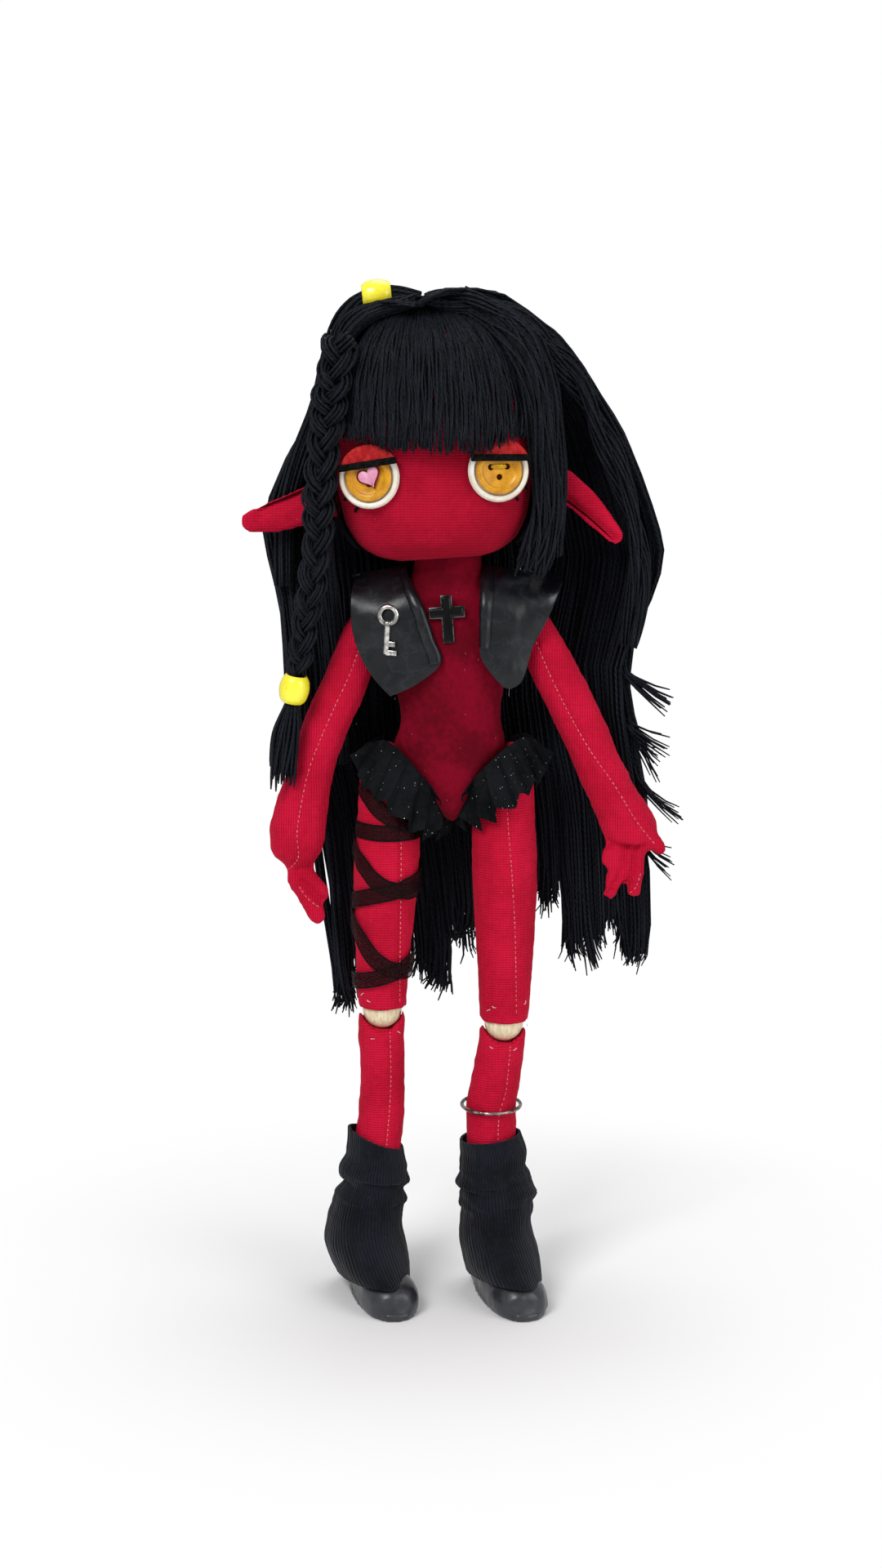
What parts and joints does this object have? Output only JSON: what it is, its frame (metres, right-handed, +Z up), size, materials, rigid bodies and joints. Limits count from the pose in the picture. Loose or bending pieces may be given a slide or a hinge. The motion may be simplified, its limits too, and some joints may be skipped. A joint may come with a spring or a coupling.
{
  "type": "cloth doll",
  "caption": "Stuffed cloth doll with button eyes, long yarn hair, a plait, a cropped vest, leg warmers and bead-jointed knees, standing on flat-soled shoes",
  "frame": {"origin": "on the floor, midway between the outermost points on each side, front and back", "axes": "+Z is up, the doll faces -Y, and +X is towards the doll's own left hand"},
  "size_m": [0.1553, 0.0873, 0.3719],
  "materials": {
    "red_jersey": "matt stretch cotton jersey",
    "red_velvet": "short-pile velvet",
    "black_yarn": "loose cotton yarn",
    "black_leather": "soft creased imitation leather",
    "black_tulle": "pleated tulle with glitter",
    "black_organza": "sheer ribbon with woven edges",
    "black_knit": "ribbed knit",
    "shoe_vinyl": "smooth soft vinyl",
    "white_plastic": "polished",
    "amber_plastic": "polished, slightly marbled",
    "yellow_plastic": "moulded with a faint seam",
    "yellow_thread": "sewing thread",
    "lid_felt": "felt",
    "black_felt": "felt",
    "pink_enamel": "smooth",
    "cream_wood": "turned and waxed",
    "white_elastic": "covered elastic thread",
    "black_enamel": "glossy",
    "antique_silver": "cast, darkened in the recesses",
    "steel": "round wire"
  },
  "bodies": {
    "body": {"head": "red_jersey", "ear_right": "red_jersey", "ear_left": "red_jersey", "arm_right": "red_jersey", "arm_left": "red_jersey", "thigh_right": "red_jersey", "thigh_left": "red_jersey", "torso": "red_velvet", "hair_cap": "black_yarn", "bangs": "black_yarn", "crown_lock": "black_yarn", "crown_twist_1": "black_yarn", "crown_twist_2": "black_yarn", "face_lock": "black_yarn", "braid_strand_1": "black_yarn", "braid_strand_2": "black_yarn", "braid_strand_3": "black_yarn", "braid_tassel": "black_yarn", "hair_lock_1": "black_yarn", "hair_lock_2": "black_yarn", "hair_lock_3": "black_yarn", "hair_lock_4": "black_yarn", "hair_lock_5": "black_yarn", "hair_lock_6": "black_yarn", "hair_lock_7": "black_yarn", "hair_lock_8": "black_yarn", "vest_front_right": "black_leather", "vest_front_left": "black_leather", "vest_back": "black_leather", "leg_ruffle_right": "black_tulle", "leg_ruffle_left": "black_tulle", "thigh_ribbon_inner": "black_organza", "thigh_ribbon_outer": "black_organza", "eye_button_right": "white_plastic", "eye_button_left": "white_plastic", "iris_button_right": "amber_plastic", "iris_button_left": "amber_plastic", "braid_bead": "yellow_plastic", "crown_bead": "yellow_plastic", "iris_thread_left": "yellow_thread", "eyelid_right": "lid_felt", "eyelid_left": "lid_felt", "lash_bar_right": "black_felt", "lash_bar_left": "black_felt", "heart_patch_right": "pink_enamel", "knee_bead_right": "cream_wood", "knee_bead_left": "cream_wood", "knee_elastic_right": "white_elastic", "knee_elastic_left": "white_elastic", "cross_charm": "black_enamel", "key_charm": "antique_silver"},
    "shin_right": {"shin_right": "red_jersey", "leg_warmer_right": "black_knit", "shoe_upper_right": "shoe_vinyl", "shoe_sole_right": "shoe_vinyl"},
    "shin_left": {"shin_left": "red_jersey", "leg_warmer_left": "black_knit", "shoe_upper_left": "shoe_vinyl", "shoe_sole_left": "shoe_vinyl", "anklet_ring": "steel"}
  },
  "joints": [
    {"name": "knee_right", "type": "hinge", "parent": "body", "child": "shin_right", "pos_m": [-0.0271, -0.0048, 0.1069], "axis": [1, 0, 0], "range_deg": [0, 60]},
    {"name": "knee_left", "type": "hinge", "parent": "body", "child": "shin_left", "pos_m": [0.0182, -0.0048, 0.1019], "axis": [1, 0, 0], "range_deg": [0, 60]}
  ]
}
